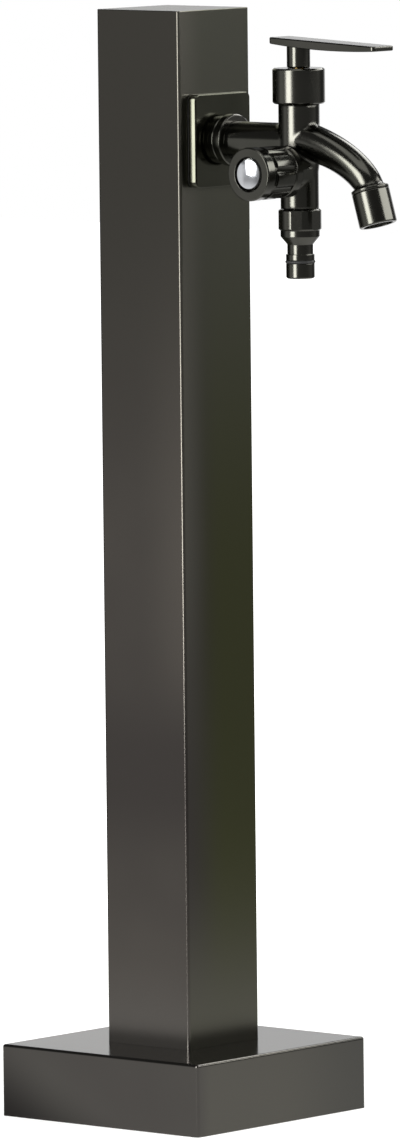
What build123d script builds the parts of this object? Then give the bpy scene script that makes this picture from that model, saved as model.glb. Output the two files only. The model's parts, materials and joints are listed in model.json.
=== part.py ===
from build123d import *
import math
import os

# Garden standpipe: a square steel column on a covered foot, with a tap near its top.
# Sizes are millimetres. +Z is up, and the origin is the centre of the column on the ground.
# The tap reaches out along -Y, and its side knob points along -X.

# Cuts run past the faces that they open by this much.
overrun = 1.0

# Threads and fits that several pieces share
half_inch_thread_radius = 9.3
half_inch_thread_depth = 16.0
half_inch_male_radius = 10.4
thread_clearance = 0.05
screw_hole_clearance = 0.1
washer_bore_gap = 0.2
running_gap = 0.3

# Column, a folded and welded square tube with a pressed-in cap
column_width = 70.0
column_wall = 1.5
column_corner = 2.0
standpipe_height = 720.0
cap_thickness = 1.5
cap_edge = 0.5
cap_skirt_depth = 12.0
cap_skirt_wall = 1.2
cap_clearance = 0.2

# Foot: the loose cover that slides up the column, and the welded base plate inside it
cover_width = 168.0
cover_height = 47.0
cover_sheet = 1.5
cover_corner = 2.0
cover_bend = 1.8
cover_clearance = 0.35
cover_collar_depth = 10.0
cover_collar_sheet = 1.2
plate_side_gap = 7.5
plate_thickness = 6.0
plate_corner = 8.0
plate_edge = 0.6
anchor_inset = 15.0
anchor_hole_radius = 5.5

# Supply connector, screwed down over the hole in the base plate
connector_inset = 0.5
connector_wall = 6.4
connector_side_gap = 0.3
connector_flange_lap = 6.0
connector_flange_thickness = 4.0
connector_body_wall = 4.2
connector_body_height = 16.0
connector_screw_gap = 4.5
connector_screw_radius = 2.0
connector_screw_head_radius = 3.4
connector_screw_head_height = 2.4
connector_screw_depth = 4.0

# Riser pipe and its two compression joints
riser_radius = 9.0
riser_wall = 1.0
riser_clearance = 0.05
riser_ledge = 2.0
riser_engagement = 14.0
stub_wall = 3.0
stub_length = 12.0
nut_wall = 2.0
nut_skirt = 9.0
nut_crown = 7.0
nut_edge_share = 0.45
ferrule_bulge = 1.8
ferrule_lip = 0.5
ferrule_length = 4.0
ferrule_gap = 0.2

# Wall elbow inside the column, held by two screws that the wall flange hides
inlet_drop = 84.0
elbow_wall = 3.5
elbow_port_wall = 3.1
elbow_drop = 20.0
elbow_port_depth = 15.3
lug_side = 7.0
lug_height = 22.0
lug_corner = 7.3
lug_thickness = 4.0
lug_screw_gap = 0.8
lug_screw_radius = 2.4
lug_screw_head_radius = 4.2
lug_screw_head_height = 2.6
tail_hole_gap = 0.6
tail_washer_thickness = 1.8

# Wall flange with its gasket, and the two rings that cover the tap's inlet
flange_width = 54.0
flange_height = 60.0
flange_corner = 4.0
flange_edge = 0.8
flange_reach = 7.0
flange_face = 2.0
flange_rim = 4.0
flange_pocket_corner = 0.8
gasket_thickness = 0.8
gasket_inset = 0.5
lock_ring_wall = 3.05
lock_ring_length = 4.0
inlet_collar_wall = 4.55
inlet_collar_length = 7.0
collar_groove_wall = 1.95
collar_groove_length = 0.9
ring_edge = 0.7

# Cast tap body: an upright barrel with a back inlet, a front spout, a side port and a hose branch.
# Its heights are measured from the inlet's axis.
tap_reach = 106.0
inlet_wall = 1.85
barrel_seat = 0.4
barrel_rise = 25.0
barrel_drop = 11.0
shoulder_drop = 19.0
branch_wall = 1.95
branch_drop = 42.4
branch_spigot_length = 10.6
side_drop = 18.0
side_port_wall = 3.8
side_port_stand = 1.7
gallery_radius = 5.0
inlet_bore_radius = 5.5
small_gallery_radius = 2.2
inlet_blend = 2.5
barrel_seam_angle = 45.0

# Spout: a curved tube that narrows towards its outlet
spout_root_rise = 2.5
spout_root_inset = 1.0
spout_bore_radius = 6.0
spout_end_wall = 3.5
spout_end_reach = 58.4
spout_end_drop = 27.8
spout_root_slope = 10.0
spout_end_tilt = 16.6
spout_root_handle = 40.6
spout_end_handle = 6.0
spout_station_shares = (0.0, 0.15, 0.3, 0.45, 0.6, 0.74, 0.87, 1.0)
spout_bore_station_shares = (0.2, 0.3, 0.45, 0.6, 0.74, 0.87, 1.0)
outlet_bore_step = 1.2
outlet_collar_height = 1.8
outlet_collar_lift = 1.6
outlet_spigot_radius = 10.7
outlet_spigot_length = 8.9

# Aerator in the spout's outlet
sleeve_length = 24.2
sleeve_wall = 1.45
sleeve_lip = 1.1
sleeve_lip_height = 2.7
sleeve_edge = 0.7
aerator_washer_thickness = 1.3
aerator_fit = 0.1
aerator_cup_wall = 1.6
aerator_cup_floor = 1.8
aerator_hole_radius = 1.1
aerator_ring_shares = (0.65, 0.37)
aerator_ring_counts = (10, 5)

# Quarter-turn headwork with a pair of ceramic discs, the same in the barrel and in the side port
headwork_flats = 22.0
headwork_flange_height = 3.5
skirt_step = 1.8
skirt_wall = 1.4
skirt_length = 10.0
window_width = 7.0
window_height = 4.0
spindle_radius = 4.0
spindle_clearance = 0.05
neck_wall = 3.15
main_neck_inset = 0.8
side_neck_gap = 1.4
foot_gap = 0.8
foot_height = 2.0
disc_thickness = 2.4
disc_port_radius = 2.1
disc_rim = 1.0
seal_thickness = 1.6
seal_side_gap = 0.1

# Bonnet over the main headwork
bonnet_height = 22.8
bonnet_rim_gap = 0.2
bonnet_rim_height = 2.0
bonnet_pocket_step = 1.8
bonnet_wall = 2.2
bonnet_roof = 3.5
bonnet_edge = 1.0

# Lever: an upright neck with a long flat blade, which points away from the column when it is shut
lever_neck_step = 0.35
lever_neck_edge = 0.6
lever_width = 21.0
lever_front = 71.2
lever_back = 16.6
lever_rise = 15.6
lever_back_thickness = 4.2
lever_tip_thickness = 3.2
lever_top_fall = 4.4
lever_belly = 3.9
lever_belly_share = 0.6
lever_plan_corner = 2.5
lever_edge = 0.9
lever_socket_cover = 2.9
lever_web = 2.0
grub_radius = 2.4
grub_length = 3.2
grub_rise = 5.7

# Side collar and side knob
side_collar_length = 7.0
side_collar_web = 1.5
side_collar_gap = 0.7
side_collar_wall = 3.3
side_collar_edge = 0.8
knob_gap = 0.4
knob_length = 28.6
knob_rim_length = 8.0
knob_rim_step = 0.2
knob_groove_length = 3.0
knob_groove_depth = 1.5
grip_radius = 17.0
grip_back_edge = 1.0
flute_count = 8
flute_radius = 3.6
flute_depth = 1.7
flute_turn = 7.5
knob_edge = 0.8
knob_recess_gap = 0.9
knob_recess_depth = 4.0
knob_well_depth = 4.0
knob_pocket_depth = 7.0
knob_pocket_gap = 1.0
knob_web = 1.4
knob_screw_radius = 2.0
knob_screw_head_radius = 3.6
knob_screw_head_height = 2.8
knob_screw_length = 9.0
knob_screw_well_gap = 0.4
index_cap_radius = 10.4
index_cap_edge = 1.2
index_cap_crown = 0.5

# Hose adaptor on the lower branch, with its quick-fit tip
adaptor_gap = 0.3
adaptor_thread_gap = 0.15
adaptor_wall = 3.25
adaptor_flat_depth = 0.5
adaptor_edge = 0.9
adaptor_nut_floor = 1.6
adaptor_step_inset = 1.1
adaptor_step_length = 4.0
adaptor_cone_length = 5.2
adaptor_neck_radius = 8.4
adaptor_neck_length = 6.3
adaptor_tip_step = 0.85
adaptor_tip_length = 15.5
adaptor_tip_edge = 0.8
adaptor_bore_radius = 4.5
adaptor_washer_thickness = 1.6
adaptor_washer_wall = 4.0
tip_groove_place = 3.7
tip_groove_width = 2.2
tip_groove_depth = 1.4
o_ring_thickness = 1.9

# Column and foot, worked out from the sizes above
column_inside = column_width - 2 * column_wall
column_inside_corner = column_corner - column_wall
tube_top = standpipe_height - cap_thickness
inner_face = column_width / 2 - column_wall
outer_face = column_width / 2
plate_width = cover_width - 2 * (cover_sheet + plate_side_gap)
anchor_spacing = plate_width - 2 * anchor_inset

# Supply and riser
connector_spigot_radius = half_inch_thread_radius + connector_wall
supply_hole_radius = connector_spigot_radius + connector_side_gap
connector_flange_radius = supply_hole_radius + connector_flange_lap
connector_body_radius = half_inch_thread_radius + connector_body_wall
connector_screw_reach = connector_body_radius + connector_screw_gap
connector_flange_top = plate_thickness + connector_flange_thickness
connector_body_top = connector_flange_top + connector_body_height
lower_stub_end = connector_body_top + stub_length
waterway_radius = riser_radius - riser_ledge
stub_radius = riser_radius + stub_wall
nut_flats = 2 * (stub_radius + nut_wall)
ferrule_radius = riser_radius + ferrule_bulge
elbow_radius = riser_radius + elbow_wall
inlet_height = standpipe_height - inlet_drop
upper_stub_end = inlet_height - elbow_drop - stub_length
riser_low = lower_stub_end - riser_engagement
riser_high = upper_stub_end + riser_engagement

# Elbow port, flange and rings
elbow_port_radius = half_inch_male_radius + elbow_port_wall
tail_hole_radius = half_inch_male_radius + tail_hole_gap
tail_washer_bore = waterway_radius + washer_bore_gap
port_floor = inner_face - elbow_port_depth
tail_end = port_floor + tail_washer_thickness
lug_screw_reach = flange_width / 2 - flange_rim - lug_screw_head_radius - lug_screw_gap
lug_width = 2 * (lug_screw_reach + lug_side)
flange_front = outer_face + flange_reach
flange_back = outer_face + gasket_thickness
inlet_radius = half_inch_male_radius + inlet_wall
lock_ring_radius = inlet_radius + lock_ring_wall
inlet_collar_radius = inlet_radius + inlet_collar_wall
collar_groove_radius = inlet_radius + collar_groove_wall

# Headworks and bonnet
headwork_corner = headwork_flats / 2 / math.cos(math.radians(30))
skirt_radius = headwork_flats / 2 - skirt_step
skirt_bore_radius = skirt_radius - skirt_wall
neck_radius = spindle_radius + spindle_clearance + neck_wall
foot_radius = skirt_bore_radius - foot_gap
disc_radius = skirt_bore_radius - running_gap
disc_port_reach = disc_radius - disc_port_radius - disc_rim
disc_joint = disc_thickness - skirt_length
foot_low = disc_joint + disc_thickness
foot_top = foot_low + foot_height
seal_radius = skirt_radius - seal_side_gap
seal_bore_radius = gallery_radius + washer_bore_gap
main_neck_height = bonnet_height - main_neck_inset
bonnet_rim_bore = headwork_corner + bonnet_rim_gap
bonnet_pocket_radius = bonnet_rim_bore + bonnet_pocket_step
bonnet_radius = bonnet_pocket_radius + bonnet_wall

# Tap body
barrel_radius = bonnet_rim_bore + barrel_seat
barrel_top = inlet_height + barrel_rise
barrel_foot = inlet_height - barrel_drop
branch_radius = half_inch_male_radius + branch_wall
branch_shoulder = inlet_height - shoulder_drop
branch_end = inlet_height - branch_drop
spigot_end = branch_end - branch_spigot_length
side_height = inlet_height - side_drop
side_port_radius = skirt_radius + side_port_wall
side_port_reach = barrel_radius + side_port_stand
side_seat = side_port_reach + side_collar_web
spout_root_height = inlet_height + spout_root_rise
spout_root_radius = barrel_radius - spout_root_inset
spout_end_radius = spout_bore_radius + spout_end_wall
spout_end_height = inlet_height - spout_end_drop
outlet_bore_radius = spout_bore_radius + outlet_bore_step
outlet_spigot_end = outlet_collar_height + outlet_spigot_length

# Aerator
sleeve_bore_radius = outlet_spigot_radius + aerator_fit
sleeve_radius = sleeve_bore_radius + sleeve_wall
sleeve_lip_radius = outlet_spigot_radius - sleeve_lip
insert_top = outlet_spigot_end + aerator_washer_thickness
insert_end = sleeve_length - sleeve_lip_height

# Lever
bonnet_top = barrel_top + bonnet_height
lever_neck_radius = neck_radius + lever_neck_step
lever_under_back = bonnet_top + lever_rise
lever_top_back = lever_under_back + lever_back_thickness
lever_top_front = lever_top_back - lever_top_fall
lever_under_front = lever_top_front - lever_tip_thickness
lever_under_middle = lever_under_back - lever_belly
lever_socket_top = lever_under_back - lever_socket_cover
main_spindle_height = lever_socket_top - lever_web - barrel_top
grub_height = bonnet_top + grub_rise

# Side collar and knob, along the side axis
side_collar_pocket = headwork_corner + side_collar_gap
side_collar_radius = side_collar_pocket + side_collar_wall
side_collar_top = side_port_reach + side_collar_length
knob_back = side_collar_top + knob_gap
knob_front = knob_back + knob_length
knob_rim_back = knob_front - knob_rim_length
knob_rim_radius = grip_radius + knob_rim_step
knob_groove_radius = grip_radius - knob_groove_depth
grip_front = knob_rim_back - knob_groove_length
knob_recess_radius = index_cap_radius + knob_recess_gap
knob_floor = knob_front - knob_recess_depth
knob_seat = knob_floor - knob_well_depth
knob_pocket_top = knob_back + knob_pocket_depth
side_neck_height = knob_pocket_top - side_neck_gap - side_seat
side_spindle_height = knob_seat - knob_web - side_seat

# Hose adaptor, from its upper end down
adaptor_top = branch_end - adaptor_gap
adaptor_thread_bore = half_inch_male_radius + adaptor_thread_gap
adaptor_radius = adaptor_thread_bore + adaptor_wall
adaptor_flats = 2 * (adaptor_radius - adaptor_flat_depth)
adaptor_floor = spigot_end - adaptor_washer_thickness
adaptor_washer_bore = half_inch_male_radius - adaptor_washer_wall
adaptor_nut_end = adaptor_floor - adaptor_nut_floor
adaptor_step_radius = adaptor_radius - adaptor_step_inset
adaptor_step_end = adaptor_nut_end - adaptor_step_length
adaptor_cone_end = adaptor_step_end - adaptor_cone_length
adaptor_neck_end = adaptor_cone_end - adaptor_neck_length
adaptor_tip_radius = adaptor_neck_radius + adaptor_tip_step
adaptor_tip_end = adaptor_neck_end - adaptor_tip_length
tip_groove_top = adaptor_neck_end - tip_groove_place
tip_groove_low = tip_groove_top - tip_groove_width

# Axes of the tap, its inlet, its side port and its outlet
tap_axis = Location((0, -tap_reach, 0))
inlet_axis = Plane(origin=(0, 0, inlet_height), x_dir=(1, 0, 0), z_dir=(0, -1, 0)).location
side_axis = Plane(origin=(0, -tap_reach, side_height), x_dir=(0, 1, 0), z_dir=(-1, 0, 0)).location
tilt = math.radians(spout_end_tilt)
outlet_axis = Plane(
    origin=(0, -tap_reach - spout_end_reach, spout_end_height),
    x_dir=(1, 0, 0),
    z_dir=(0, -math.sin(tilt), -math.cos(tilt)),
).location
main_headwork_place = tap_axis * Pos(0, 0, barrel_top)
side_headwork_place = side_axis * Pos(0, 0, side_seat)


def rod(radius, low, high):
    """A round bar along local Z."""
    bar = Cylinder(radius, high - low, align=(Align.CENTER, Align.CENTER, Align.MIN))
    return Pos(0, 0, low) * bar


def ring(radius, bore, low, high):
    """A round ring along local Z."""
    return rod(radius, low, high) - rod(bore, low - overrun, high + overrun)


def turned(outline):
    """A turned piece about local Z, from (radius, height) points."""
    section = Plane.XZ * make_face(Polyline(*outline, close=True))
    return revolve(section, axis=Axis.Z)


def hex_bar(flats, low, high):
    """A hexagonal bar along local Z, measured across its flats."""
    section = RegularPolygon(radius=flats / 2, side_count=6, major_radius=False)
    return Pos(0, 0, low) * extrude(section, amount=high - low)


def square_bar(width, corner, low, high):
    """An upright square bar with rounded corners."""
    return Pos(0, 0, low) * extrude(RectangleRounded(width, width, corner), amount=high - low)


def plate(width, height, corner, low, high):
    """A rounded plate across local Z."""
    return Pos(0, 0, low) * extrude(RectangleRounded(width, height, corner), amount=high - low)


def corners(spacing):
    """The four corners of a square pattern."""
    return [Pos(x, y, 0) for x in (-spacing / 2, spacing / 2) for y in (-spacing / 2, spacing / 2)]


def pair(reach):
    """Two places, left and right of the axis."""
    return [Pos(-reach, 0, 0), Pos(reach, 0, 0)]


def column_tube():
    """The square tube, open at both ends, with holes for the tap's tail and the elbow's screws."""
    tube = square_bar(column_width, column_corner, plate_thickness, tube_top)
    tube -= square_bar(column_inside, column_inside_corner, plate_thickness - overrun, tube_top + overrun)
    tail_hole = rod(tail_hole_radius, inner_face - overrun, outer_face + overrun)
    screw_hole_radius = lug_screw_radius + screw_hole_clearance
    screw_hole = rod(screw_hole_radius, inner_face - overrun, outer_face + overrun)
    tube -= inlet_axis * tail_hole
    for place in pair(lug_screw_reach):
        tube -= inlet_axis * place * screw_hole
    return tube


def column_cap():
    """A flat cap with a skirt that grips the inside of the tube."""
    top = square_bar(column_width, column_corner, tube_top, standpipe_height)
    top = fillet(top.faces().sort_by(Axis.Z)[-1].edges(), radius=cap_edge)
    skirt_width = column_inside - 2 * cap_clearance
    skirt = square_bar(skirt_width, cap_skirt_wall, tube_top - cap_skirt_depth, tube_top)
    hollow_width = skirt_width - 2 * cap_skirt_wall
    hollow = square_bar(hollow_width, column_inside_corner, tube_top - cap_skirt_depth - overrun, tube_top)
    return top + (skirt - hollow)


def base_plate():
    """The welded foot plate, with four anchor holes and the supply hole."""
    foot = square_bar(plate_width, plate_corner, 0, plate_thickness)
    foot = chamfer(foot.faces().sort_by(Axis.Z)[-1].edges(), length=plate_edge)
    foot -= rod(supply_hole_radius, -overrun, plate_thickness + overrun)
    for place in corners(anchor_spacing):
        foot -= place * rod(anchor_hole_radius, -overrun, plate_thickness + overrun)
    for place in pair(connector_screw_reach):
        hole_low = plate_thickness - connector_screw_depth
        foot -= place * rod(connector_screw_radius + thread_clearance, hole_low, plate_thickness + overrun)
    return foot


def base_cover():
    """A folded sheet cover with a guide collar round its column hole."""
    shell = square_bar(cover_width, cover_corner, 0, cover_height)
    shell = fillet(shell.faces().sort_by(Axis.Z)[-1].edges(), radius=cover_bend)
    inside_width = cover_width - 2 * cover_sheet
    shell -= square_bar(inside_width, cover_corner - cover_sheet, -overrun, cover_height - cover_sheet)
    hole_width = column_width + 2 * cover_clearance
    hole_corner = column_corner + cover_clearance
    collar_width = hole_width + 2 * cover_collar_sheet
    collar_corner = hole_corner + cover_collar_sheet
    collar_low = cover_height - cover_sheet - cover_collar_depth
    shell += square_bar(collar_width, collar_corner, collar_low, cover_height - cover_sheet)
    shell -= square_bar(hole_width, hole_corner, collar_low - overrun, cover_height + overrun)
    return shell


def supply_connector():
    """The brass connector that joins the buried supply to the riser."""
    piece = rod(connector_spigot_radius, connector_inset, plate_thickness)
    piece += rod(connector_flange_radius, plate_thickness, connector_flange_top)
    body = hex_bar(2 * connector_body_radius, connector_flange_top, connector_body_top)
    piece += Rot(0, 0, 30) * body
    piece += rod(stub_radius, connector_body_top, lower_stub_end)
    thread_top = connector_inset + half_inch_thread_depth
    piece -= rod(half_inch_thread_radius, connector_inset - overrun, thread_top)
    piece -= rod(waterway_radius, thread_top, riser_low)
    piece -= rod(riser_radius + riser_clearance, riser_low, lower_stub_end + overrun)
    for place in pair(connector_screw_reach):
        hole_radius = connector_screw_radius + screw_hole_clearance
        piece -= place * rod(hole_radius, plate_thickness - overrun, connector_flange_top + overrun)
    return piece


def connector_screws():
    """Two pan-head screws that hold the connector to the base plate."""
    shank_low = plate_thickness - connector_screw_depth
    head_top = connector_flange_top + connector_screw_head_height
    screw = rod(connector_screw_radius, shank_low, connector_flange_top)
    screw += rod(connector_screw_head_radius, connector_flange_top, head_top)
    places = pair(connector_screw_reach)
    return Compound(children=[place * screw for place in places])


def compression_nut():
    """A hexagon nut that hangs over a stub whose end is at local zero."""
    nut = hex_bar(nut_flats, -nut_skirt, nut_crown)
    across_corners = nut_flats / 2 / math.cos(math.radians(30))
    edge = (across_corners - nut_flats / 2) * nut_edge_share
    blank = turned(
        [
            (0, -nut_skirt),
            (across_corners - edge, -nut_skirt),
            (across_corners, edge - nut_skirt),
            (across_corners, nut_crown - edge),
            (across_corners - edge, nut_crown),
            (0, nut_crown),
        ]
    )
    nut &= blank
    nut -= rod(stub_radius + thread_clearance, -nut_skirt - overrun, 0)
    nut -= rod(ferrule_radius + ferrule_gap, 0, ferrule_length + ferrule_gap)
    nut -= rod(riser_radius + riser_clearance, ferrule_length, nut_crown + overrun)
    return nut


def ferrule():
    """The soft ring that the nut squeezes on the riser, on a stub whose end is at local zero."""
    bore = riser_radius + riser_clearance / 2
    return turned(
        [
            (bore, 0),
            (riser_radius + ferrule_lip, 0),
            (ferrule_radius, ferrule_length / 2),
            (riser_radius + ferrule_lip, ferrule_length),
            (bore, ferrule_length),
        ]
    )


def riser_pipe():
    """The pipe that carries the water up inside the column."""
    return ring(riser_radius, riser_radius - riser_wall, riser_low, riser_high)


def riser_elbow():
    """The wall elbow, with a screwed port behind the wall and a stub for the riser."""
    drop = rod(elbow_radius, upper_stub_end + stub_length, inlet_height)
    drop += rod(stub_radius, upper_stub_end, upper_stub_end + stub_length)
    elbow = drop + Pos(0, 0, inlet_height) * Sphere(elbow_radius)
    elbow += inlet_axis * rod(elbow_radius, 0, inner_face)
    elbow += inlet_axis * rod(elbow_port_radius, port_floor - lug_thickness, inner_face)
    lugs = plate(lug_width, lug_height, lug_corner, inner_face - lug_thickness, inner_face)
    elbow += inlet_axis * lugs
    elbow -= inlet_axis * rod(half_inch_male_radius + thread_clearance, port_floor, inner_face + overrun)
    elbow -= inlet_axis * rod(waterway_radius, 0, port_floor)
    elbow -= Pos(0, 0, inlet_height) * Sphere(waterway_radius)
    elbow -= rod(waterway_radius, riser_high, inlet_height)
    elbow -= rod(riser_radius + riser_clearance, upper_stub_end - overrun, riser_high)
    lug_back = inner_face - lug_thickness
    hole = rod(lug_screw_radius + thread_clearance, lug_back - overrun, inner_face + overrun)
    for place in pair(lug_screw_reach):
        elbow -= inlet_axis * place * hole
    return elbow


def elbow_screws():
    """Two screws through the column's front wall into the elbow's lugs."""
    screw = rod(lug_screw_radius, inner_face - lug_thickness, outer_face)
    screw += rod(lug_screw_head_radius, outer_face, outer_face + lug_screw_head_height)
    return Compound(children=[inlet_axis * place * screw for place in pair(lug_screw_reach)])


def tail_washer():
    """The flat washer at the bottom of the elbow's port."""
    return inlet_axis * ring(half_inch_male_radius, tail_washer_bore, port_floor, tail_end)


def flange_gasket():
    """The soft frame between the wall flange and the column."""
    width = flange_width - 2 * gasket_inset
    height = flange_height - 2 * gasket_inset
    corner = flange_corner - gasket_inset
    frame = plate(width, height, corner, outer_face, flange_back)
    inside_width = flange_width - 2 * flange_rim
    inside_height = flange_height - 2 * flange_rim
    window_corner = flange_pocket_corner
    frame -= plate(inside_width, inside_height, window_corner, outer_face - overrun, flange_back + overrun)
    return inlet_axis * frame


def wall_flange():
    """The rounded plate against the column, hollow behind its face for the screw heads."""
    cover = plate(flange_width, flange_height, flange_corner, flange_back, flange_front)
    cover = fillet(cover.faces().sort_by(Axis.Z)[-1].edges(), radius=flange_edge)
    inside_width = flange_width - 2 * flange_rim
    inside_height = flange_height - 2 * flange_rim
    pocket_end = flange_front - flange_face
    cover -= plate(inside_width, inside_height, flange_pocket_corner, flange_back - overrun, pocket_end)
    cover -= rod(half_inch_male_radius + screw_hole_clearance, flange_back, flange_front + overrun)
    return inlet_axis * cover


def flange_lock_ring():
    """The small ring that stands on the wall flange round the inlet."""
    front = flange_front + lock_ring_length
    bore = inlet_radius + thread_clearance
    return inlet_axis * turned(
        [
            (bore, flange_front),
            (lock_ring_radius, flange_front),
            (lock_ring_radius, front - ring_edge),
            (lock_ring_radius - ring_edge, front),
            (bore, front),
        ]
    )


def inlet_collar():
    """The larger ring in front of it, with a groove turned behind its rim."""
    back = flange_front + lock_ring_length
    rim_back = back + collar_groove_length
    front = back + inlet_collar_length
    bore = inlet_radius + thread_clearance
    return inlet_axis * turned(
        [
            (bore, back),
            (collar_groove_radius, back),
            (collar_groove_radius, rim_back),
            (inlet_collar_radius - ring_edge, rim_back),
            (inlet_collar_radius, rim_back + ring_edge),
            (inlet_collar_radius, front - ring_edge),
            (inlet_collar_radius - ring_edge, front),
            (bore, front),
        ]
    )


def spout_path():
    """The centre line of the spout, from the barrel's axis to its outlet."""
    slope = math.radians(spout_root_slope)
    start = Vector(0, -tap_reach, spout_root_height)
    start_direction = Vector(0, -math.cos(slope), -math.sin(slope))
    end = Vector(0, -tap_reach - spout_end_reach, spout_end_height)
    end_direction = Vector(0, -math.sin(tilt), -math.cos(tilt))
    start_handle = start + start_direction * spout_root_handle
    end_handle = end - end_direction * spout_end_handle
    return Bezier(start, start_handle, end_handle, end)


def spout_sections(shares, root_radius, end_radius):
    """Round sections square to the spout's centre line, narrowing steadily from the barrel."""
    path = spout_path()
    sections = []
    for share in shares:
        place = Plane(origin=path @ share, x_dir=(1, 0, 0), z_dir=path % share)
        radius = end_radius + (root_radius - end_radius) * (1 - share)
        sections.append(place * Circle(radius))
    return sections


def tap_casting():
    """The outside of the tap body, before its bores.

    The barrel's surface closes on itself between the inlet and the side away from the knob."""
    barrel = tap_axis * Rot(0, 0, barrel_seam_angle) * turned(
        [
            (0, branch_end),
            (branch_radius, branch_end),
            (branch_radius, branch_shoulder),
            (barrel_radius, barrel_foot),
            (barrel_radius, barrel_top),
            (0, barrel_top),
        ]
    )
    inlet = inlet_axis * rod(inlet_radius, flange_front, tap_reach)
    port = side_axis * rod(side_port_radius, 0, side_port_reach)
    spout = loft(spout_sections(spout_station_shares, spout_root_radius, spout_end_radius))
    joined = barrel + inlet
    joined = fillet(new_edges(barrel, inlet, combined=joined), radius=inlet_blend)
    joined += port
    joined += spout
    outlet_collar = turned(
        [
            (0, -outlet_collar_lift),
            (spout_end_radius, -outlet_collar_lift),
            (sleeve_radius, 0),
            (sleeve_radius, outlet_collar_height),
            (outlet_spigot_radius, outlet_collar_height),
            (outlet_spigot_radius, outlet_spigot_end),
            (0, outlet_spigot_end),
        ]
    )
    joined += outlet_axis * outlet_collar
    joined += inlet_axis * rod(half_inch_male_radius, tail_end, flange_front)
    joined += tap_axis * rod(half_inch_male_radius, spigot_end, branch_end)
    return joined


def tap_body():
    """The cast and bored tap body with its real waterways."""
    body = tap_casting()
    main_seat = barrel_top - skirt_length - seal_thickness
    body -= tap_axis * rod(skirt_radius + thread_clearance, main_seat, barrel_top + overrun)
    body -= tap_axis * rod(gallery_radius, side_height, main_seat)
    body -= inlet_axis * rod(inlet_bore_radius, tail_end - overrun, tap_reach)
    side_floor = side_seat - skirt_length - seal_thickness
    body -= side_axis * rod(skirt_radius + thread_clearance, side_floor, side_port_reach + overrun)
    body -= side_axis * rod(gallery_radius, 0, side_floor)
    body -= loft(spout_sections(spout_bore_station_shares, spout_bore_radius, spout_bore_radius))
    body -= outlet_axis * rod(outlet_bore_radius, -outlet_collar_lift, outlet_spigot_end + overrun)
    feed_reach = skirt_radius - small_gallery_radius
    spout_feed = rod(small_gallery_radius, inlet_height, main_seat)
    body -= Pos(0, -tap_reach - feed_reach, 0) * spout_feed
    hose_top = side_height - side_port_radius
    body -= tap_axis * rod(gallery_radius, spigot_end - overrun, hose_top)
    hose_feed = rod(small_gallery_radius, hose_top - overrun, side_height)
    body -= Pos(-feed_reach, -tap_reach, 0) * hose_feed
    return body


def headwork(neck_height):
    """The brass headwork: a skirt with water windows, a hexagon and a bearing neck."""
    piece = rod(skirt_radius, -skirt_length, 0)
    piece += hex_bar(headwork_flats, 0, headwork_flange_height)
    piece += rod(neck_radius, headwork_flange_height, neck_height)
    piece -= rod(skirt_bore_radius, -skirt_length - overrun, foot_top + running_gap)
    piece -= rod(spindle_radius + spindle_clearance, foot_top, neck_height + overrun)
    window = Box(2 * skirt_radius + overrun, window_width, window_height)
    piece -= Pos(0, 0, foot_low - window_height / 2 + foot_height) * window
    return piece


def disc_seal():
    """The rubber ring that presses on the fixed disc."""
    return ring(seal_radius, seal_bore_radius, -skirt_length - seal_thickness, -skirt_length)


def ported_disc(low, turn):
    """A ceramic disc with two ports."""
    disc = rod(disc_radius, low, low + disc_thickness)
    for place in pair(disc_port_reach):
        port = rod(disc_port_radius, low - overrun, low + disc_thickness + overrun)
        disc -= Rot(0, 0, turn) * place * port
    return disc


def spindle(height):
    """The spindle with its foot, which turns the moving disc."""
    return rod(foot_radius, foot_low, foot_top) + rod(spindle_radius, foot_top, height)


def bonnet_cap():
    """The bonnet, hollow round the headwork's hexagon and centred on its neck."""
    roof = bonnet_top - bonnet_roof
    return tap_axis * turned(
        [
            (bonnet_rim_bore, barrel_top),
            (bonnet_radius - bonnet_edge, barrel_top),
            (bonnet_radius, barrel_top + bonnet_edge),
            (bonnet_radius, bonnet_top - bonnet_edge),
            (bonnet_radius - bonnet_edge, bonnet_top),
            (neck_radius + thread_clearance, bonnet_top),
            (neck_radius + thread_clearance, roof),
            (bonnet_pocket_radius, roof),
            (bonnet_pocket_radius, barrel_top + bonnet_rim_height),
            (bonnet_rim_bore, barrel_top + bonnet_rim_height),
        ]
    )


def lever_handle():
    """The lever, one piece with its neck, bored for the spindle and the grub screw."""
    back = (-lever_back, lever_under_back)
    middle = (lever_front * lever_belly_share, lever_under_middle)
    front = (lever_front, lever_under_front)
    outline = ThreePointArc(back, middle, front)
    outline += Line(front, (lever_front, lever_top_front))
    outline += Line((lever_front, lever_top_front), (-lever_back, lever_top_back))
    outline += Line((-lever_back, lever_top_back), back)
    side_plane = Plane(origin=(0, 0, 0), x_dir=(0, -1, 0), z_dir=(-1, 0, 0))
    blade = extrude(side_plane * make_face(outline), amount=lever_width / 2, both=True)
    blade = fillet(blade.edges().filter_by(Axis.Z), radius=lever_plan_corner)
    top_edges = blade.faces().sort_by(Axis.Z)[-1].edges()
    blade = fillet(top_edges, radius=lever_edge)
    neck_low = bonnet_top + running_gap
    neck_high = lever_under_back
    neck = turned(
        [
            (0, neck_low),
            (lever_neck_radius - lever_neck_edge, neck_low),
            (lever_neck_radius, neck_low + lever_neck_edge),
            (lever_neck_radius, neck_high),
            (0, neck_high),
        ]
    )
    handle = blade + neck
    handle -= rod(spindle_radius + spindle_clearance, neck_low - overrun, lever_socket_top)
    grub_hole = rod(grub_radius + thread_clearance, spindle_radius, lever_neck_radius + overrun)
    handle -= Pos(0, 0, grub_height) * Rot(-90, 0, 0) * grub_hole
    return tap_axis * handle


def lever_grub_screw():
    """The grub screw in the back of the lever's neck, which bears on the spindle."""
    low = spindle_radius + thread_clearance
    screw = rod(grub_radius, low, low + grub_length)
    return tap_axis * Pos(0, 0, grub_height) * Rot(-90, 0, 0) * screw


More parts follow.
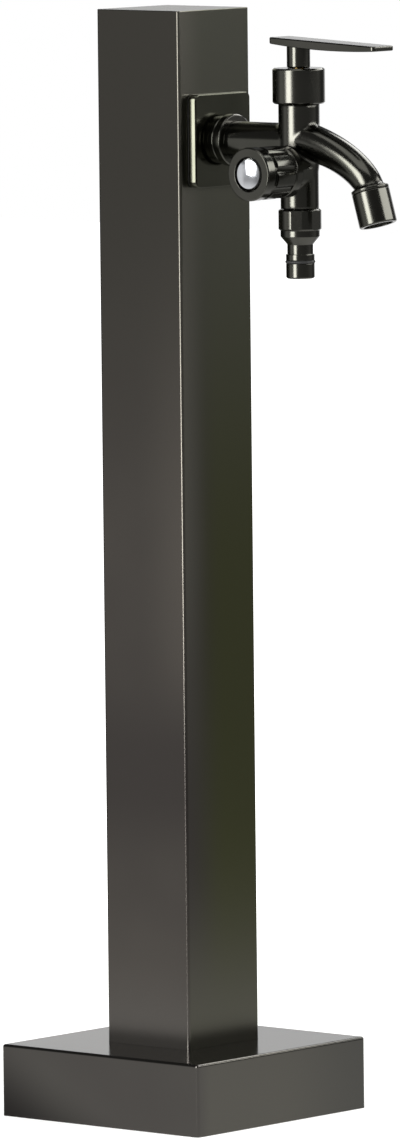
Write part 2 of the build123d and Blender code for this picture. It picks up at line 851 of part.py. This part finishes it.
def side_collar():
    """The ring between the side port and the knob, clamped by the headwork's hexagon."""
    return side_axis * turned(
        [
            (skirt_radius + thread_clearance, side_port_reach),
            (side_collar_radius - side_collar_edge, side_port_reach),
            (side_collar_radius, side_port_reach + side_collar_edge),
            (side_collar_radius, side_collar_top - side_collar_edge),
            (side_collar_radius - side_collar_edge, side_collar_top),
            (side_collar_pocket, side_collar_top),
            (side_collar_pocket, side_seat),
            (skirt_radius + thread_clearance, side_seat),
        ]
    )


def side_knob():
    """The knob: a fluted grip, a groove and a plain rim with a recess for the index cap."""
    knob = turned(
        [
            (0, knob_back),
            (grip_radius - grip_back_edge, knob_back),
            (grip_radius, knob_back + grip_back_edge),
            (grip_radius, grip_front),
            (knob_groove_radius, grip_front),
            (knob_groove_radius, knob_rim_back),
            (knob_rim_radius - knob_edge, knob_rim_back),
            (knob_rim_radius, knob_rim_back + knob_edge),
            (knob_rim_radius, knob_front - knob_edge),
            (knob_rim_radius - knob_edge, knob_front),
            (knob_recess_radius, knob_front),
            (knob_recess_radius, knob_floor),
            (0, knob_floor),
        ]
    )
    flute = rod(flute_radius, knob_back - overrun, grip_front)
    for place in PolarLocations(grip_radius + flute_radius - flute_depth, flute_count, flute_turn):
        knob -= place * flute
    knob -= rod(neck_radius + knob_pocket_gap, knob_back - overrun, knob_pocket_top)
    knob -= rod(spindle_radius + spindle_clearance, knob_back, side_seat + side_spindle_height)
    knob -= rod(knob_screw_radius + screw_hole_clearance, knob_pocket_top, knob_floor)
    knob -= rod(knob_screw_head_radius + knob_screw_well_gap, knob_seat, knob_floor + overrun)
    return side_axis * knob


def knob_screw():
    """The screw that draws the knob onto the side spindle."""
    screw = rod(knob_screw_radius, knob_seat - knob_screw_length, knob_seat)
    screw += rod(knob_screw_head_radius, knob_seat, knob_seat + knob_screw_head_height)
    return side_axis * screw


def knob_index_cap():
    """The polished cap that hides the knob's screw."""
    shoulder = knob_front - index_cap_edge
    return side_axis * turned(
        [
            (0, knob_floor),
            (index_cap_radius, knob_floor),
            (index_cap_radius, shoulder),
            (index_cap_radius - index_cap_edge, knob_front),
            (0, knob_front + index_cap_crown),
        ]
    )


def side_spindle():
    """The side spindle, tapped for the knob's screw."""
    piece = spindle(side_spindle_height)
    tapped_low = knob_seat - knob_screw_length - side_seat
    piece -= rod(knob_screw_radius + thread_clearance, tapped_low, side_spindle_height + overrun)
    return side_headwork_place * piece


def aerator_sleeve():
    """The sleeve screwed to the spout's outlet."""
    low = outlet_collar_height
    return outlet_axis * turned(
        [
            (sleeve_bore_radius, low),
            (sleeve_radius - sleeve_edge, low),
            (sleeve_radius, low + sleeve_edge),
            (sleeve_radius, sleeve_length - sleeve_edge),
            (sleeve_radius - sleeve_edge, sleeve_length),
            (sleeve_lip_radius, sleeve_length),
            (sleeve_lip_radius, insert_end),
            (sleeve_bore_radius, insert_end),
        ]
    )


def aerator_washer():
    """The washer between the spout and the aerator's insert."""
    return outlet_axis * ring(outlet_spigot_radius, outlet_bore_radius, outlet_spigot_end, insert_top)


def aerator_insert():
    """A moulded cup with two rings of jets in its floor."""
    radius = outlet_spigot_radius
    cup = rod(radius, insert_top, insert_end)
    cup -= rod(radius - aerator_cup_wall, insert_top - overrun, insert_end - aerator_cup_floor)
    jet = rod(aerator_hole_radius, insert_end - aerator_cup_floor - overrun, insert_end + overrun)
    for share, count in zip(aerator_ring_shares, aerator_ring_counts):
        for place in PolarLocations(radius * share, count):
            cup -= place * jet
    return outlet_axis * cup


def hose_adaptor():
    """The screwed adaptor, with a hexagon, a cone and a grooved quick-fit tip."""
    groove_floor = adaptor_tip_radius - tip_groove_depth
    piece = turned(
        [
            (adaptor_thread_bore, adaptor_top),
            (adaptor_radius - adaptor_edge, adaptor_top),
            (adaptor_radius, adaptor_top - adaptor_edge),
            (adaptor_radius, adaptor_nut_end + adaptor_edge),
            (adaptor_radius - adaptor_edge, adaptor_nut_end),
            (adaptor_step_radius, adaptor_nut_end),
            (adaptor_step_radius, adaptor_step_end),
            (adaptor_neck_radius, adaptor_cone_end),
            (adaptor_neck_radius, adaptor_neck_end),
            (adaptor_tip_radius, adaptor_neck_end),
            (adaptor_tip_radius, tip_groove_top),
            (groove_floor, tip_groove_top),
            (groove_floor, tip_groove_low),
            (adaptor_tip_radius, tip_groove_low),
            (adaptor_tip_radius, adaptor_tip_end + adaptor_tip_edge),
            (adaptor_tip_radius - adaptor_tip_edge, adaptor_tip_end),
            (adaptor_bore_radius, adaptor_tip_end),
            (adaptor_bore_radius, adaptor_floor),
            (adaptor_thread_bore, adaptor_floor),
        ]
    )
    piece &= hex_bar(adaptor_flats, adaptor_tip_end - overrun, adaptor_top + overrun)
    return tap_axis * piece


def adaptor_washer():
    """The washer between the branch and the adaptor."""
    return tap_axis * ring(half_inch_male_radius, adaptor_washer_bore, adaptor_floor, spigot_end)


def adaptor_o_ring():
    """The ring in the groove of the adaptor's tip."""
    centre_radius = adaptor_tip_radius - tip_groove_depth + o_ring_thickness / 2
    centre_height = tip_groove_top - tip_groove_width / 2
    return tap_axis * Pos(0, 0, centre_height) * Torus(centre_radius, o_ring_thickness / 2)


def write(name, shape):
    """Writes one named piece."""
    shape.label = name
    export_step(shape, f"parts/{name}.step")


os.makedirs("parts", exist_ok=True)
lower_joint = Pos(0, 0, lower_stub_end)
upper_joint = Pos(0, 0, upper_stub_end) * Rot(180, 0, 0)

write("column_tube", column_tube())
write("column_cap", column_cap())
write("base_plate", base_plate())
write("base_cover", base_cover())
write("supply_connector", supply_connector())
write("connector_screws", connector_screws())
write("riser_lower_nut", lower_joint * compression_nut())
write("riser_lower_ferrule", lower_joint * ferrule())
write("riser_pipe", riser_pipe())
write("riser_upper_ferrule", upper_joint * ferrule())
write("riser_upper_nut", upper_joint * compression_nut())
write("riser_elbow", riser_elbow())
write("elbow_screws", elbow_screws())
write("tail_washer", tail_washer())
write("flange_gasket", flange_gasket())
write("wall_flange", wall_flange())
write("flange_lock_ring", flange_lock_ring())
write("inlet_collar", inlet_collar())
write("tap_body", tap_body())
write("main_headwork", main_headwork_place * headwork(main_neck_height))
write("main_disc_seal", main_headwork_place * disc_seal())
write("main_fixed_disc", main_headwork_place * ported_disc(-skirt_length, 0))
write("main_moving_disc", main_headwork_place * ported_disc(disc_joint, 90))
write("main_spindle", main_headwork_place * spindle(main_spindle_height))
write("bonnet_cap", bonnet_cap())
write("lever_handle", lever_handle())
write("lever_grub_screw", lever_grub_screw())
write("side_headwork", side_headwork_place * headwork(side_neck_height))
write("side_disc_seal", side_headwork_place * disc_seal())
write("side_fixed_disc", side_headwork_place * ported_disc(-skirt_length, 0))
write("side_moving_disc", side_headwork_place * ported_disc(disc_joint, 90))
write("side_spindle", side_spindle())
write("side_collar", side_collar())
write("side_knob", side_knob())
write("knob_screw", knob_screw())
write("knob_index_cap", knob_index_cap())
write("aerator_sleeve", aerator_sleeve())
write("aerator_washer", aerator_washer())
write("aerator_insert", aerator_insert())
write("hose_adaptor", hose_adaptor())
write("adaptor_washer", adaptor_washer())
write("adaptor_o_ring", adaptor_o_ring())
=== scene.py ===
import json
import math

import bmesh
import bpy
from mathutils import Matrix, Vector

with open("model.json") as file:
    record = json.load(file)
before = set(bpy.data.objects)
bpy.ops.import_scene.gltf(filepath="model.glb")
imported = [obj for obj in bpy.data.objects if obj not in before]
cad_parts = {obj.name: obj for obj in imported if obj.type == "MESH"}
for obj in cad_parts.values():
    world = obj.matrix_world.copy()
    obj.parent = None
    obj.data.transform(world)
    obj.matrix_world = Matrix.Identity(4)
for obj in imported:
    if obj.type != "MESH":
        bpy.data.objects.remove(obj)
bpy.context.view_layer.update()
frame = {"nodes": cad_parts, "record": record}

# Garden standpipe: a satin gunmetal column on a covered foot, with a polished dark tap.
# Metres, in the frame of the solids: +Z up, the tap towards -Y and its side knob towards -X.
MM = 0.001

# The camera, as fitted to the column, the foot and the tap in the photograph. Its angles are in
# degrees, and SIDE and RISE move it across and up in its own frame.
PHOTO_HEIGHT_PX = 1142
FOCAL_PX = 10860.5
SENSOR_MM = 36.0
CAMERA_AZIMUTH = -49.385
CAMERA_ELEVATION = 5.409
CAMERA_ROLL = -0.6045
CAMERA_DISTANCE = 7.0552
CAMERA_TARGET = Vector((0, 0, 0.355))
CAMERA_SIDE = 0.0139674
CAMERA_RISE = -0.0005893
CAMERA_CLIP = 60.0

# Studio light: soft lamps round the object, and a ring of greys that polished metal shows.
# A swing is in degrees to the right of the camera, seen from above the object.
LAMP_DISTANCE = 2.2
LAMP_TARGET = Vector((0, -0.06, 0.42))
# Name, swing, rise in degrees, width and height in metres, and radiance. The wide weak spill gives
# the key's bright streaks on the tap a soft edge.
LAMPS = (
    ("key_softbox", -45, 14, 0.86, 1.9, 10.5),
    ("key_spill", -45, 14, 1.35, 1.9, 1.8),
    ("side_softbox", 80, 27, 2.2, 1.0, 5.0),
    ("back_softbox", 146, 40, 1.0, 0.9, 4.5),
    ("top_softbox", 10, 76, 1.6, 1.6, 1.2),
)
BACKDROP_WHITE = 1.0
FILL_GREY = 0.52
SKY_GREY = 0.10
# The ring fades into the sky's grey between these two, each the sine of a rise
RING_TOP = 0.15
SKY_START = 0.22
# Swing and grey, all the way round. The column shows the grey of -81 on its knob's side and of 99
# on its tap's side, and level faces show the white behind the object.
STUDIO_RING = (
    (-180, 1.0),
    (-152, 1.0),
    (-140, 0.14),
    (-112, 0.05),
    (-98, 0.30),
    (-88, 0.70),
    (-77, 0.66),
    (-68, 0.36),
    (-20, 0.20),
    (60, 0.16),
    (84, 0.26),
    (100, 0.32),
    (114, 0.10),
    (140, 0.12),
    (152, 1.0),
    (180, 1.0),
)
# The floor shows its shading near the object, and goes over into the backdrop between the
# distances NEAR and FAR. Near the object, GLOW is the share of white that it adds and GREY what
# polished metal sees of it.
FLOOR_SIZE = 14.0
FLOOR_NEAR = 0.35
FLOOR_FAR = 1.3
FLOOR_GREY = 0.95
FLOOR_GLOW = 0.3
FLOOR_PAINT = "#ececea"

# The wall flange's sides curve in from this place towards the front, by this much per metre
FLANGE_BACK = -0.0355
FLANGE_CURVE = 38.0
# The index cap's crown: its highest place, and how much it curves down per metre
CAP_TOP = (0, -0.0985, 0.621)
CAP_CROWN = 15.0

# Shader values: the span that a noise seldom leaves, the strengths of the bumps, the detail of the
# soft solids' noise, the rays of an eased edge, and a colour mix's three inputs and its output
NOISE_SPAN = {"From Min": 0.3, "From Max": 0.7}
METAL_BUMP = 0.5
SOFT_BUMP = 0.4
SOFT_DETAIL = 3.0
BEVEL_SAMPLES = 12
FACTOR, FIRST, SECOND, MIXED = 0, 6, 7, 2


def linear(hex_colour):
    """An sRGB hex colour as linear RGBA."""
    channels = [int(hex_colour[i : i + 2], 16) / 255 for i in (1, 3, 5)]
    rgb = [c / 12.92 if c <= 0.04045 else ((c + 0.055) / 1.055) ** 2.4 for c in channels]
    return (*rgb, 1.0)


def grey(value):
    """A linear grey as RGBA."""
    return (value, value, value, 1.0)


def node(tree, kind, settings=None, links=None):
    """Adds a shader node: settings are attributes or input values, and links are the sockets that
    its inputs take. An input goes by its name or its number, and a link to None is left out."""
    made = tree.nodes.new(kind)
    for key, value in (settings or {}).items():
        if isinstance(key, int) or key in made.inputs:
            made.inputs[key].default_value = value
        else:
            setattr(made, key, value)
    for key, socket in (links or {}).items():
        if socket is not None:
            tree.links.new(socket, made.inputs[key])
    return made


def material(name):
    """An empty node material; the caller fills in the shader."""
    made = bpy.data.materials.new(name)
    made.use_nodes = True
    made.node_tree.nodes.clear()
    return made, made.node_tree


def metal(
    name,
    colour,
    deep,
    roughness,
    grain,
    grain_depth,
    cloud_size,
    uneven=0.12,
    round_over=0.0,
    drift=(),
    form=None,
):
    """A metal with a fine grain, soft clouds of tone, painted light and a slightly uneven polish.

    grain is the spacing of the finest marks, grain_depth their depth and cloud_size the width of
    the clouds, all in mm. uneven is the share by which the roughness wanders. round_over is the
    radius in mm to which edges and inner corners look eased. Each drift is painted light, a painted
    reflection or painted shade: a colour and its ramps (across, start, end) that move the tone to
    that colour along each direction, between two places in mm. form gives a height in metres, for a
    broad shape made by shading alone."""
    made, tree = material(name)
    place = node(tree, "ShaderNodeTexCoord").outputs["Object"]
    marks, clouds = (
        node(tree, "ShaderNodeTexNoise", {"Scale": 1 / (size * MM)}, {"Vector": place}).outputs[0]
        for size in (grain, cloud_size)
    )

    tone = node(tree, "ShaderNodeMapRange", NOISE_SPAN, {"Value": clouds})
    tint = node(
        tree,
        "ShaderNodeMix",
        {"data_type": "RGBA", FIRST: linear(deep), SECOND: linear(colour)},
        {FACTOR: tone.outputs[0]},
    )
    # Painted light: painted reflections and painted shade laid over the coat's tone, one ramp set
    # at a time.
    for moved_to, *ramps in drift:
        share = None
        for across, start, end in ramps:
            reach = node(
                tree, "ShaderNodeVectorMath", {"operation": "DOT_PRODUCT", 1: across}, {0: place}
            )
            along = node(
                tree,
                "ShaderNodeMapRange",
                {"interpolation_type": "SMOOTHSTEP", "From Min": start * MM, "From Max": end * MM},
                {"Value": reach.outputs["Value"]},
            ).outputs[0]
            if share is not None:
                both = node(tree, "ShaderNodeMath", {"operation": "MULTIPLY"}, {0: share, 1: along})
                along = both.outputs[0]
            share = along
        tint = node(
            tree,
            "ShaderNodeMix",
            {"data_type": "RGBA", SECOND: linear(moved_to)},
            {FACTOR: share, FIRST: tint.outputs[MIXED]},
        )

    polish = node(
        tree,
        "ShaderNodeMapRange",
        {**NOISE_SPAN, "To Min": roughness * (1 - uneven), "To Max": roughness * (1 + uneven)},
        {"Value": marks},
    )
    normal = None
    if round_over:
        eased = node(
            tree, "ShaderNodeBevel", {"samples": BEVEL_SAMPLES, "Radius": round_over * MM}
        )
        normal = eased.outputs[0]
    if form:
        shaped = node(
            tree,
            "ShaderNodeBump",
            {"Strength": 1.0, "Distance": 1.0},
            {"Height": form(tree, place), "Normal": normal},
        )
        normal = shaped.outputs[0]
    relief = node(
        tree,
        "ShaderNodeBump",
        {"Strength": METAL_BUMP, "Distance": grain_depth * MM},
        {"Height": marks, "Normal": normal},
    )
    surface = node(
        tree,
        "ShaderNodeBsdfPrincipled",
        {"Metallic": 1.0},
        {
            "Base Color": tint.outputs[MIXED],
            "Roughness": polish.outputs[0],
            "Normal": relief.outputs[0],
        },
    )
    node(tree, "ShaderNodeOutputMaterial", links={"Surface": surface.outputs[0]})
    return made


def dome(tree, away, curve):
    """A height that falls with the square of a distance, by curve per metre."""
    squared = node(tree, "ShaderNodeMath", {"operation": "MULTIPLY"}, {0: away, 1: away})
    return node(
        tree, "ShaderNodeMath", {"operation": "MULTIPLY", 1: -curve}, {0: squared.outputs[0]}
    ).outputs[0]


def crowned_cap(tree, place):
    """The low crown of the index cap, highest a little up and to the back."""
    offset = node(
        tree, "ShaderNodeVectorMath", {"operation": "SUBTRACT", 1: CAP_TOP}, {0: place}
    )
    across = node(
        tree,
        "ShaderNodeVectorMath",
        {"operation": "MULTIPLY", 1: (0, 1, 1)},
        {0: offset.outputs[0]},
    )
    away = node(tree, "ShaderNodeVectorMath", {"operation": "LENGTH"}, {0: across.outputs[0]})
    return dome(tree, away.outputs["Value"], CAP_CROWN)


def rounded_sides(tree, place):
    """Sides of the wall flange that curve in towards its front."""
    apart = node(tree, "ShaderNodeSeparateXYZ", links={"Vector": place})
    forward = node(
        tree,
        "ShaderNodeMath",
        {"operation": "SUBTRACT", 0: FLANGE_BACK},
        {1: apart.outputs["Y"]},
    )
    return dome(tree, forward.outputs[0], FLANGE_CURVE)


def soft_solid(name, colour, deep, roughness, grain, grain_depth, ior):
    """A moulded or fired dielectric with a fine surface grain that also varies its tone. grain is
    the spacing of the marks and grain_depth their depth, both in mm."""
    made, tree = material(name)
    place = node(tree, "ShaderNodeTexCoord").outputs["Object"]
    marks = node(
        tree,
        "ShaderNodeTexNoise",
        {"Scale": 1 / (grain * MM), "Detail": SOFT_DETAIL},
        {"Vector": place},
    ).outputs["Fac"]
    tint = node(
        tree,
        "ShaderNodeMix",
        {"data_type": "RGBA", FIRST: linear(deep), SECOND: linear(colour)},
        {FACTOR: marks},
    )
    relief = node(
        tree,
        "ShaderNodeBump",
        {"Strength": SOFT_BUMP, "Distance": grain_depth * MM},
        {"Height": marks},
    )
    surface = node(
        tree,
        "ShaderNodeBsdfPrincipled",
        {"Roughness": roughness, "IOR": ior},
        {"Base Color": tint.outputs[MIXED], "Normal": relief.outputs[0]},
    )
    node(tree, "ShaderNodeOutputMaterial", links={"Surface": surface.outputs[0]})
    return made


# Stainless sheet, bead blasted and coated dark grey in vacuum: the blasted grain is finer than a
# pixel, so it is drawn 0.8 mm apart and faint. It gives a smooth soft sheen that goes pale at a
# grazing angle. The coating's tone wanders slowly at random between warm greys. The slow shifts of
# tone set below, olive among them, are painted reflections and painted shade.
SHEET = dict(grain=0.8, grain_depth=0.0001, cloud_size=110.0, uneven=0.03)
# Ramps that keep a painted reflection or painted shade to the column's face on the knob's side
# (left as the camera sees it), off that face, or to its face on the tap's side (right as the camera
# sees it)
KNOB_FACE = ((-1, 0, 0), 33, 35)
OFF_KNOB_FACE = ((1, 0, 0), -35, -33)
TAP_FACE = ((0, -1, 0), 33, 35)
satin_column = metal(
    "satin_gunmetal_column_painted_light",
    "#5b5752",
    "#54504c",
    roughness=0.23,
    drift=(
        # Painted reflection: the knob's face paler towards its front and upward from 120 to 400 mm.
        ("#66615b", KNOB_FACE, ((0, -1, 0), -5, 42), ((0, 0, 1), 120, 400)),
        # Painted shade: a darker band across the knob's face from 150 to 310 mm up, darkest at 215
        # to 235 mm.
        ("#4d4946", KNOB_FACE, ((0, 0, 1), 150, 215), ((0, 0, -1), -310, -235)),
        # Painted reflection: the column darker towards its top, from 330 to 620 mm up.
        ("#484641", ((0, 0, 1), 330, 620)),
        # Painted reflection: the column paler towards its foot, below 110 mm.
        ("#605d59", ((0, 0, -1), -110, -40)),
        # Painted reflection of greenery: an olive tone that grows away from the knob's face.
        ("#57593e", ((1, 0, 0), -35, 5)),
        # Painted reflection: an olive grey low down off the knob's face, below 50 to 190 mm.
        ("#56554c", OFF_KNOB_FACE, ((0, 0, -1), -190, -50)),
        # Painted reflection: paler high up off the knob's face, from 330 to 640 mm.
        ("#65655b", OFF_KNOB_FACE, ((0, 0, 1), 330, 640)),
        # Painted highlight: a paler strip on the tap's face along its edge by the knob, from 180 to
        # 400 mm up.
        ("#77756c", TAP_FACE, ((-1, 0, 0), 8, 38), ((0, 0, 1), 180, 400)),
    ),
    **SHEET,
)
# Painted shade: the cover's colours are a darker copy of the column's coat.
satin_cover = metal(
    "satin_gunmetal_cover_painted_light",
    "#54524e",
    "#4f4c49",
    roughness=0.17,
    drift=(
        # Painted shade: the cover darker low down towards its back, at the far lower corner of the
        # knob's side.
        ("#2a2827", ((0, 0.5, -1), -15, 42)),
        # Painted light: the cover a little paler and warmer, except on its face on the knob's side.
        ("#585650", ((1, 0, 0), -84, -70)),
        # Painted shade: the cover darker towards +X, between x = -10 and 90 mm.
        ("#4e4d49", ((1, 0, 0), -10, 90)),
    ),
    **SHEET,
)
# Brass, polished and coated near-black in vacuum. The buffing marks are far finer than a pixel, so
# a faint wave 3 mm apart stands for them: reflections keep their shape, and their edges are a
# little soft and uneven.
POLISHED = dict(grain=3.0, grain_depth=0.0002, uneven=0.05)
# Its castings have soft edges and inner corners, along which a streak of light runs on
polished_casting = metal(
    "polished_gunmetal_casting",
    "#575651",
    "#4f4f49",
    roughness=0.15,
    cloud_size=30.0,
    round_over=3.5,
    **POLISHED,
)
# Its turnings have crisp edges, each with one thin line of light
polished_turning = metal(
    "polished_gunmetal_turning",
    "#575651",
    "#4f4f49",
    roughness=0.18,
    cloud_size=30.0,
    round_over=0.6,
    **POLISHED,
)
# The pressed wall flange has the same coat, drawn darker and greener here: painted shade and a
# painted green reflection. Its sides curve in a little towards the front, so the side towards the
# light shows a bright strip
polished_flange = metal(
    "polished_gunmetal_flange",
    "#535349",
    "#47483e",
    roughness=0.15,
    cloud_size=40.0,
    round_over=0.6,
    form=rounded_sides,
    **POLISHED,
)
# Chromed brass: bright, with soft reflections. Its buffing marks are drawn as a faint wave, 6 mm
# apart.
polished_chrome = metal(
    "polished_chrome",
    "#e8eaee",
    "#dddfe3",
    roughness=0.15,
    grain=6.0,
    grain_depth=0.0002,
    cloud_size=12.0,
    form=crowned_cap,
)
# The grain of the pieces from here on is finer than a pixel too. It is drawn 0.5 to 0.8 mm apart,
# about a pixel, so that it still breaks up the light from close by.
# Turned brass with no coating: a dull yellow with fine tool marks
turned_brass = metal(
    "turned_brass",
    "#a58a54",
    "#8f7747",
    roughness=0.28,
    grain=0.5,
    grain_depth=0.004,
    cloud_size=8.0,
)
# Hot-rolled and pickled stainless plate: a pale even grey with a slightly rough skin
plain_stainless = metal(
    "pickled_stainless",
    "#b9b9b6",
    "#a6a6a3",
    roughness=0.36,
    grain=0.7,
    grain_depth=0.006,
    cloud_size=30.0,
)
# Moulded rubber: matt black with a little bloom
black_rubber = soft_solid(
    "moulded_rubber", "#262625", "#1b1b1b", roughness=0.62, grain=0.6, grain_depth=0.01, ior=1.52
)
# Lapped ceramic: white, dense and slightly glossy
white_ceramic = soft_solid(
    "lapped_ceramic", "#ece9e2", "#dfdcd5", roughness=0.22, grain=0.8, grain_depth=0.002, ior=1.76
)
# Moulded acetal: a pale grey plastic with a waxy sheen
grey_acetal = soft_solid(
    "moulded_acetal", "#8f9193", "#828486", roughness=0.38, grain=0.7, grain_depth=0.004, ior=1.48
)

FINISHES = {
    "satin_gunmetal_steel": satin_column,
    "polished_gunmetal_brass": polished_turning,
    "polished_chrome": polished_chrome,
    "raw_brass": turned_brass,
    "stainless_steel": plain_stainless,
    "black_rubber": black_rubber,
    "ceramic": white_ceramic,
    "grey_acetal": grey_acetal,
}
OWN_FINISHES = {
    "base_cover": satin_cover,
    "tap_body": polished_casting,
    "wall_flange": polished_flange,
}


def dress_nodes():
    """Gives every solid its finish by its slot in the record, or one of its own."""
    for entry in frame["record"]["subparts"]:
        piece = frame["nodes"][entry["node"]]
        piece.data.materials.clear()
        finish = OWN_FINISHES.get(entry["node"], FINISHES[entry["material_slot"]])
        piece.data.materials.append(finish)


def swung(swing, rise=0.0):
    """The direction from the object at a swing and a rise, in degrees."""
    azimuth = math.radians(CAMERA_AZIMUTH + swing)
    lift = math.radians(rise)
    level = math.cos(lift)
    return Vector((math.sin(azimuth) * level, -math.cos(azimuth) * level, math.sin(lift)))


def add_camera():
    """The camera of the photograph, which looks from between the tap's front and its knob."""
    back = swung(0, CAMERA_ELEVATION)
    level = swung(90)
    upright = back.cross(level)
    roll = math.radians(CAMERA_ROLL)
    right = math.cos(roll) * level + math.sin(roll) * upright
    up = -math.sin(roll) * level + math.cos(roll) * upright
    data = bpy.data.cameras.new("photo_camera")
    data.sensor_fit = "VERTICAL"
    data.sensor_height = SENSOR_MM
    data.lens = SENSOR_MM * FOCAL_PX / PHOTO_HEIGHT_PX
    data.clip_end = CAMERA_CLIP
    view = bpy.data.objects.new("photo_camera", data)
    bpy.context.scene.collection.objects.link(view)
    turn = Matrix((right, up, back)).transposed().to_4x4()
    place = CAMERA_TARGET + back * CAMERA_DISTANCE + right * CAMERA_SIDE + up * CAMERA_RISE
    view.matrix_world = Matrix.Translation(place) @ turn
    bpy.context.scene.camera = view


def add_softbox(name, swing, rise, width, height, radiance):
    """A soft area lamp that faces the object."""
    direction = swung(swing, rise)
    data = bpy.data.lights.new(name, "AREA")
    data.shape = "RECTANGLE"
    data.size = width
    data.size_y = height
    # The power of an even emitter is pi times its radiance and its area
    data.energy = radiance * math.pi * width * height
    lamp = bpy.data.objects.new(name, data)
    bpy.context.scene.collection.objects.link(lamp)
    turn = direction.to_track_quat("Z", "Y").to_matrix().to_4x4()
    lamp.matrix_world = Matrix.Translation(LAMP_TARGET + direction * LAMP_DISTANCE) @ turn


def studio_ring(tree, direction):
    """The grey of the studio's walls by their swing, for any direction or place in the scene."""
    across, towards = (
        node(
            tree,
            "ShaderNodeVectorMath",
            {"operation": "DOT_PRODUCT", 1: tuple(axis)},
            {0: direction},
        ).outputs["Value"]
        for axis in (swung(90), swung(0))
    )
    turn = node(tree, "ShaderNodeMath", {"operation": "ARCTAN2"}, {0: across, 1: towards})
    share = node(
        tree,
        "ShaderNodeMapRange",
        {"From Min": -math.pi, "From Max": math.pi},
        {"Value": turn.outputs[0]},
    )
    walls = node(tree, "ShaderNodeValToRGB", links={0: share.outputs[0]})
    ramp = walls.color_ramp
    while len(ramp.elements) < len(STUDIO_RING):
        ramp.elements.new(1.0)
    for element, (swing, value) in zip(ramp.elements, STUDIO_RING):
        element.position = (swing + 180) / 360
        element.color = grey(value)
    return walls.outputs["Color"]


def add_world():
    """White behind the object, a ring of greys in reflections and an even fill elsewhere."""
    world = bpy.data.worlds.new("studio")
    bpy.context.scene.world = world
    world.use_nodes = True
    tree = world.node_tree
    tree.nodes.clear()
    way = node(tree, "ShaderNodeTexCoord").outputs["Generated"]
    apart = node(tree, "ShaderNodeSeparateXYZ", links={"Vector": way})
    overhead = node(
        tree,
        "ShaderNodeMapRange",
        {"interpolation_type": "SMOOTHSTEP", "From Min": RING_TOP, "From Max": SKY_START},
        {"Value": apart.outputs["Z"]},
    )
    studio = node(
        tree,
        "ShaderNodeMix",
        {"data_type": "RGBA", SECOND: grey(SKY_GREY)},
        {FACTOR: overhead.outputs[0], FIRST: studio_ring(tree, way)},
    )
    rays = node(tree, "ShaderNodeLightPath").outputs
    seen = node(
        tree,
        "ShaderNodeMix",
        {"data_type": "RGBA", FIRST: grey(FILL_GREY)},
        {FACTOR: rays["Is Glossy Ray"], SECOND: studio.outputs[MIXED]},
    )
    shown = node(
        tree,
        "ShaderNodeMix",
        {"data_type": "RGBA", SECOND: grey(BACKDROP_WHITE)},
        {FACTOR: rays["Is Camera Ray"], FIRST: seen.outputs[MIXED]},
    )
    light = node(tree, "ShaderNodeBackground", links={"Color": shown.outputs[MIXED]})
    node(tree, "ShaderNodeOutputWorld", links={"Surface": light.outputs[0]})


def pale_floor():
    """White where nothing shades it. Polished metal shows it as a grey that joins the ring of greys
    further off."""
    made, tree = material("pale_floor")
    place = node(tree, "ShaderNodeTexCoord").outputs["Object"]
    distance = node(tree, "ShaderNodeVectorMath", {"operation": "LENGTH"}, {0: place})
    far = node(
        tree,
        "ShaderNodeMapRange",
        {"interpolation_type": "SMOOTHSTEP", "From Min": FLOOR_NEAR, "From Max": FLOOR_FAR},
        {"Value": distance.outputs["Value"]},
    ).outputs[0]
    rays = node(tree, "ShaderNodeLightPath").outputs
    paint = node(tree, "ShaderNodeBsdfDiffuse", {"Color": linear(FLOOR_PAINT)})
    glow = node(tree, "ShaderNodeMapRange", {"To Min": FLOOR_GLOW, "To Max": 1.0}, {"Value": far})
    shine = node(
        tree,
        "ShaderNodeMath",
        {"operation": "MULTIPLY"},
        {0: rays["Is Camera Ray"], 1: glow.outputs[0]},
    )
    lit = node(
        tree, "ShaderNodeEmission", {"Color": grey(1.0)}, {"Strength": shine.outputs[0]}
    )
    both = node(tree, "ShaderNodeAddShader", links={0: paint.outputs[0], 1: lit.outputs[0]})
    around = node(
        tree,
        "ShaderNodeMix",
        {"data_type": "RGBA", FIRST: grey(FLOOR_GREY)},
        {FACTOR: far, SECOND: studio_ring(tree, place)},
    )
    mirrored = node(tree, "ShaderNodeEmission", links={"Color": around.outputs[MIXED]})
    surface = node(
        tree,
        "ShaderNodeMixShader",
        links={0: rays["Is Glossy Ray"], 1: both.outputs[0], 2: mirrored.outputs[0]},
    )
    node(tree, "ShaderNodeOutputMaterial", links={"Surface": surface.outputs[0]})
    return made


def add_floor():
    """The ground that the object stands on, which is stage and no piece of it."""
    mesh = bpy.data.meshes.new("floor")
    shape = bmesh.new()
    bmesh.ops.create_grid(shape, x_segments=1, y_segments=1, size=FLOOR_SIZE / 2)
    shape.to_mesh(mesh)
    shape.free()
    mesh.materials.append(pale_floor())
    floor = bpy.data.objects.new("floor", mesh)
    bpy.context.scene.collection.objects.link(floor)


dress_nodes()
add_camera()
add_world()
add_floor()
for lamp in LAMPS:
    add_softbox(*lamp)

bpy.context.scene.view_settings.view_transform = "Standard"
